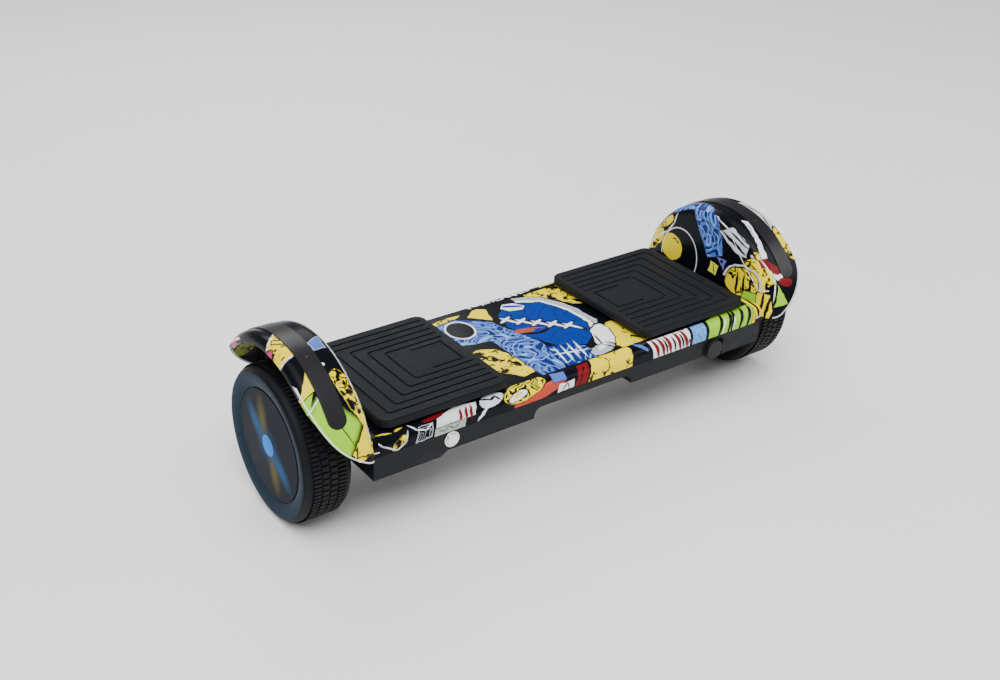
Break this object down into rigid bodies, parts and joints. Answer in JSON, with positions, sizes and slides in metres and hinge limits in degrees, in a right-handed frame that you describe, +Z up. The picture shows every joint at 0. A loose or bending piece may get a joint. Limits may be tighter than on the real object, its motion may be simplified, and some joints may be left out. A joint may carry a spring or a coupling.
{
  "type": "self balancing hoverboard",
  "caption": "Two-wheeled self balancing board with a rigid deck, tilting ribbed foot pedals, hub motor wheels under arched fenders and a lit wheel face.",
  "frame": {"origin": "ground point under the middle of the deck, midway between the two wheels", "axes": "+X along the wheel axle towards the right wheel, the front face with the button looks along -Y, +Z up"},
  "size_m": [0.65, 0.225, 0.1984],
  "materials": {
    "shell_graphic": "gloss black moulding with printed abstract street-art shapes in yellow, green, blue and white",
    "housing_black": "satin black moulded plastic with a fine grain",
    "strip_black": "semi-gloss black trim",
    "mat_rubber": "dark grey ribbed rubber",
    "pedal_black": "fine-grained black plastic",
    "tyre_rubber": "matt black solid tyre rubber",
    "hub_gloss": "slate blue gloss plastic",
    "hub_lens": "smoked lens, lit from behind in blue and amber",
    "button_metal": "polished metal",
    "cap_rubber": "soft black rubber",
    "cast_aluminium": "sand cast with machined faces",
    "machined_steel": "turned steel",
    "motor_cast": "dark powder coat",
    "lamination": "stacked steel sheet",
    "copper": "enamelled copper wire",
    "magnet": "nickel plated magnet",
    "screw_steel": "zinc plated",
    "circuit_board": "solder resist over fibreglass",
    "battery_wrap": "blue heat-shrink sleeve",
    "strap": "black moulded strap",
    "switch_black": "black switch moulding",
    "buffer_rubber": "silicone rubber"
  },
  "bodies": {
    "chassis": {"top_shell": "shell_graphic", "left_fender": "shell_graphic", "right_fender": "shell_graphic", "front_trim_bar": "shell_graphic", "rear_trim_bar": "shell_graphic", "bottom_shell": "housing_black", "left_fender_strip": "strip_black", "right_fender_strip": "strip_black", "shell_screws": "screw_steel", "clamp_screws": "screw_steel", "frame": "cast_aluminium", "axle_clamps": "cast_aluminium", "pivot_blocks": "cast_aluminium", "heat_sink": "cast_aluminium", "left_pedal_buffers": "buffer_rubber", "right_pedal_buffers": "buffer_rubber", "battery_pack": "battery_wrap", "battery_straps": "strap", "control_board": "circuit_board", "power_switch": "switch_black", "charge_socket": "switch_black", "button_bezel": "button_metal", "left_axle_seal": "cap_rubber", "right_axle_seal": "cap_rubber", "charge_cap_pin": "machined_steel", "left_axle": "machined_steel", "right_axle": "machined_steel", "left_stator": "lamination", "right_stator": "lamination", "left_windings": "copper", "right_windings": "copper"},
    "left_wheel": {"left_tyre": "tyre_rubber", "left_rim": "motor_cast", "left_magnets": "magnet", "left_inner_cover": "motor_cast", "left_bearings": "machined_steel", "left_cover_screws": "screw_steel", "left_led_board": "circuit_board", "left_hub_cover": "hub_gloss", "left_hub_lens": "hub_lens"},
    "left_pedal": {"left_foot_mat": "mat_rubber", "left_pedal_plate": "pedal_black", "left_pedal_shaft": "machined_steel", "left_sensor_board": "circuit_board"},
    "right_wheel": {"right_tyre": "tyre_rubber", "right_rim": "motor_cast", "right_magnets": "magnet", "right_inner_cover": "motor_cast", "right_bearings": "machined_steel", "right_cover_screws": "screw_steel", "right_led_board": "circuit_board", "right_hub_cover": "hub_gloss", "right_hub_lens": "hub_lens"},
    "right_pedal": {"right_foot_mat": "mat_rubber", "right_pedal_plate": "pedal_black", "right_pedal_shaft": "machined_steel", "right_sensor_board": "circuit_board"},
    "power_button": {"power_button": "button_metal"},
    "charge_cap": {"charge_cap": "cap_rubber"}
  },
  "joints": [
    {"name": "left_wheel_spin", "type": "hinge", "parent": "chassis", "child": "left_wheel", "pos_m": [-0.2987, 0, 0.0825], "axis": [1, 0, 0], "continuous": true},
    {"name": "right_wheel_spin", "type": "hinge", "parent": "chassis", "child": "right_wheel", "pos_m": [0.2987, 0, 0.0825], "axis": [1, 0, 0], "continuous": true},
    {"name": "left_pedal_tilt", "type": "hinge", "parent": "chassis", "child": "left_pedal", "pos_m": [-0.16635, 0, 0.1015], "axis": [1, 0, 0], "range_deg": [-1.5, 1.5], "stiffness_Nm_per_rad": 60, "deforming": ["left_pedal_buffers"]},
    {"name": "right_pedal_tilt", "type": "hinge", "parent": "chassis", "child": "right_pedal", "pos_m": [0.16635, 0, 0.1015], "axis": [1, 0, 0], "range_deg": [-1.5, 1.5], "stiffness_Nm_per_rad": 60, "deforming": ["right_pedal_buffers"]},
    {"name": "power_button_press", "type": "slide", "parent": "chassis", "child": "power_button", "axis": [0, 1, 0], "range_m": [0, 0.0015], "stiffness_N_per_m": 800, "springref_m": -0.001},
    {"name": "charge_cap_swing", "type": "hinge", "parent": "chassis", "child": "charge_cap", "pos_m": [0.199, -0.0978, 0.082], "axis": [0, 0, 1], "range_deg": [0, 120]}
  ]
}
